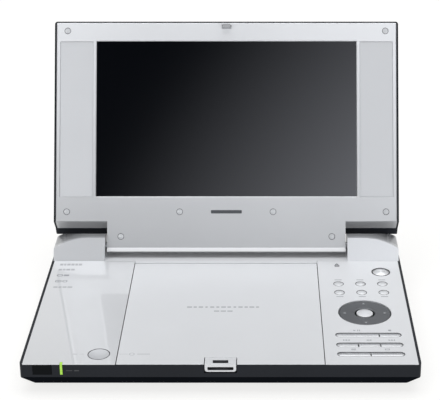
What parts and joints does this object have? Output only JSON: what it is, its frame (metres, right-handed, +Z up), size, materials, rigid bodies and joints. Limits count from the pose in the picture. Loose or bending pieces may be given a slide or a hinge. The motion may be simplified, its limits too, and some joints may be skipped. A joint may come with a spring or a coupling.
{
  "type": "portable dvd player",
  "caption": "Clamshell portable disc player: screen on a rear hinge, lidded disc bay, sprung keys and direction ring, latch, volume wheel and side sockets.",
  "frame": {"origin": "centre of the base's footprint at table level, on the underside of the middle foot", "axes": "+X to the user's right, +Y to the back, +Z up; stored open as in the picture, screen leaning back 25.6 degrees from upright"},
  "size_m": [0.2582, 0.2501, 0.1795],
  "materials": {
    "dark_shell": "satin, blue-black",
    "gloss_silver": "clear-coated silver",
    "satin_silver": "satin silver paint",
    "dark_plastic": "fine matte",
    "steel": "plain",
    "circuit_board": "solder mask",
    "battery_wrap": "shrink wrap",
    "lamp_green": "clear green",
    "foot_rubber": "matte",
    "screen_gloss": "gloss black",
    "lcd_frame": "plain",
    "cap_grey": "satin",
    "key_silver": "satin silver paint",
    "chrome_button": "polished",
    "ring_grey": "metallic grey",
    "lens": "coated clear"
  },
  "bodies": {
    "base": {"base_shell": "dark_shell", "left_panel": "gloss_silver", "key_panel": "satin_silver", "rear_deck": "satin_silver", "ear_covers": "satin_silver", "disc_deck": "dark_plastic", "chassis": "steel", "spindle_motor": "steel", "guide_rods": "steel", "sled_motor": "steel", "main_board": "circuit_board", "key_board": "circuit_board", "battery_pack": "battery_wrap", "ir_window": "dark_plastic", "led_pipe": "lamp_green", "feet": "foot_rubber", "base_screws": "steel", "jacks": "dark_plastic", "dc_inlet": "dark_plastic", "volume_pot": "steel", "base_hinges": "steel"},
    "disc_lid": {"disc_lid": "satin_silver", "disc_lid_frame": "dark_plastic", "disc_lid_hook": "dark_plastic"},
    "screen": {"lid_cover": "dark_shell", "bezel": "satin_silver", "side_plates": "satin_silver", "screen_glass": "screen_gloss", "lcd_module": "lcd_frame", "speakers": "dark_plastic", "screw_caps": "cap_grey", "screen_hook": "steel", "screen_hinges": "steel"},
    "open_button": {"open_button": "key_silver"},
    "catch_slider": {"catch_slider": "dark_plastic"},
    "power_button": {"power_button": "chrome_button"},
    "dpad_cross": {"dpad_cross": "dark_plastic"},
    "dpad_ring": {"dpad_ring": "ring_grey"},
    "enter_key": {"enter_key": "key_silver"},
    "latch_tab": {"latch_tab": "key_silver"},
    "volume_wheel": {"volume_wheel": "dark_plastic"},
    "turntable": {"turntable": "dark_plastic"},
    "pickup": {"pickup": "dark_plastic", "pickup_lens": "lens"},
    "lead_screw": {"lead_screw": "steel"},
    "round_key_1": {"round_key_1": "key_silver"},
    "round_key_2": {"round_key_2": "key_silver"},
    "round_key_3": {"round_key_3": "key_silver"},
    "round_key_4": {"round_key_4": "key_silver"},
    "round_key_5": {"round_key_5": "key_silver"},
    "round_key_6": {"round_key_6": "key_silver"},
    "bar_key_1": {"bar_key_1": "key_silver"},
    "bar_key_2": {"bar_key_2": "key_silver"},
    "bar_key_3": {"bar_key_3": "key_silver"},
    "bar_key_4": {"bar_key_4": "key_silver"},
    "bar_key_5": {"bar_key_5": "key_silver"},
    "bar_key_6": {"bar_key_6": "key_silver"},
    "bar_key_7": {"bar_key_7": "key_silver"}
  },
  "joints": [
    {"name": "screen_hinge", "type": "hinge", "parent": "base", "child": "screen", "pos_m": [0, 0.076, 0.0259], "axis": [-1, 0, 0], "range_deg": [-115.6, 35]},
    {"name": "disc_lid_hinge", "type": "hinge", "parent": "base", "child": "disc_lid", "pos_m": [0, 0.0557, 0.0175], "axis": [-1, 0, 0], "range_deg": [0, 68]},
    {"name": "latch_press", "type": "hinge", "parent": "base", "child": "latch_tab", "pos_m": [0, -0.0842, 0.0192], "axis": [1, 0, 0], "range_deg": [0, 4], "stiffness_Nm_per_rad": 0.3},
    {"name": "open_press", "type": "slide", "parent": "base", "child": "open_button", "axis": [0, 0, 1], "range_m": [-0.0015, 0], "stiffness_N_per_m": 600},
    {"name": "catch_slide", "type": "slide", "parent": "base", "child": "catch_slider", "axis": [1, 0, 0], "range_m": [-0.0015, 0]},
    {"name": "power_press", "type": "slide", "parent": "base", "child": "power_button", "axis": [0, 0, 1], "range_m": [-0.0004, 0], "stiffness_N_per_m": 1500},
    {"name": "round_key_1_press", "type": "slide", "parent": "base", "child": "round_key_1", "axis": [0, 0, 1], "range_m": [-0.0004, 0], "stiffness_N_per_m": 1500},
    {"name": "round_key_2_press", "type": "slide", "parent": "base", "child": "round_key_2", "axis": [0, 0, 1], "range_m": [-0.0004, 0], "stiffness_N_per_m": 1500},
    {"name": "round_key_3_press", "type": "slide", "parent": "base", "child": "round_key_3", "axis": [0, 0, 1], "range_m": [-0.0004, 0], "stiffness_N_per_m": 1500},
    {"name": "round_key_4_press", "type": "slide", "parent": "base", "child": "round_key_4", "axis": [0, 0, 1], "range_m": [-0.0004, 0], "stiffness_N_per_m": 1500},
    {"name": "round_key_5_press", "type": "slide", "parent": "base", "child": "round_key_5", "axis": [0, 0, 1], "range_m": [-0.0004, 0], "stiffness_N_per_m": 1500},
    {"name": "round_key_6_press", "type": "slide", "parent": "base", "child": "round_key_6", "axis": [0, 0, 1], "range_m": [-0.0004, 0], "stiffness_N_per_m": 1500},
    {"name": "bar_key_1_press", "type": "slide", "parent": "base", "child": "bar_key_1", "axis": [0, 0, 1], "range_m": [-0.0004, 0], "stiffness_N_per_m": 1500},
    {"name": "bar_key_2_press", "type": "slide", "parent": "base", "child": "bar_key_2", "axis": [0, 0, 1], "range_m": [-0.0004, 0], "stiffness_N_per_m": 1500},
    {"name": "bar_key_3_press", "type": "slide", "parent": "base", "child": "bar_key_3", "axis": [0, 0, 1], "range_m": [-0.0004, 0], "stiffness_N_per_m": 1500},
    {"name": "bar_key_4_press", "type": "slide", "parent": "base", "child": "bar_key_4", "axis": [0, 0, 1], "range_m": [-0.0004, 0], "stiffness_N_per_m": 1500},
    {"name": "bar_key_5_press", "type": "slide", "parent": "base", "child": "bar_key_5", "axis": [0, 0, 1], "range_m": [-0.0004, 0], "stiffness_N_per_m": 1500},
    {"name": "bar_key_6_press", "type": "slide", "parent": "base", "child": "bar_key_6", "axis": [0, 0, 1], "range_m": [-0.0004, 0], "stiffness_N_per_m": 1500},
    {"name": "bar_key_7_press", "type": "slide", "parent": "base", "child": "bar_key_7", "axis": [0, 0, 1], "range_m": [-0.0004, 0], "stiffness_N_per_m": 1500},
    {"name": "enter_press", "type": "slide", "parent": "base", "child": "enter_key", "axis": [0, 0, 1], "range_m": [-0.0004, 0], "stiffness_N_per_m": 1500},
    {"name": "ring_rock_up_down", "type": "hinge", "parent": "base", "child": "dpad_cross", "pos_m": [0.0973, -0.021, 0.0164], "axis": [1, 0, 0], "range_deg": [-1.5, 1.5], "stiffness_Nm_per_rad": 0.4},
    {"name": "ring_rock_left_right", "type": "hinge", "parent": "dpad_cross", "child": "dpad_ring", "pos_m": [0.0973, -0.021, 0.0178], "axis": [0, 1, 0], "range_deg": [-1.5, 1.5], "stiffness_Nm_per_rad": 0.4},
    {"name": "volume_turn", "type": "hinge", "parent": "base", "child": "volume_wheel", "pos_m": [0.1189, -0.05, 0.012], "axis": [0, 0, 1], "range_deg": [-135, 135]},
    {"name": "turntable_spin", "type": "hinge", "parent": "base", "child": "turntable", "pos_m": [0, -0.017, 0.012], "axis": [0, 0, 1], "continuous": true},
    {"name": "pickup_slide", "type": "slide", "parent": "base", "child": "pickup", "axis": [0, 1, 0], "range_m": [0, 0.034]},
    {"name": "lead_screw_turn", "type": "hinge", "parent": "base", "child": "lead_screw", "pos_m": [0.025, 0.02, 0.0092], "axis": [0, 1, 0], "range_deg": [0, 4100]}
  ],
  "couplings": [
    {"joint": "catch_slide", "follows": "open_press", "ratio": 1},
    {"joint": "lead_screw_turn", "follows": "pickup_slide", "rad_per_m": 2094.4}
  ]
}
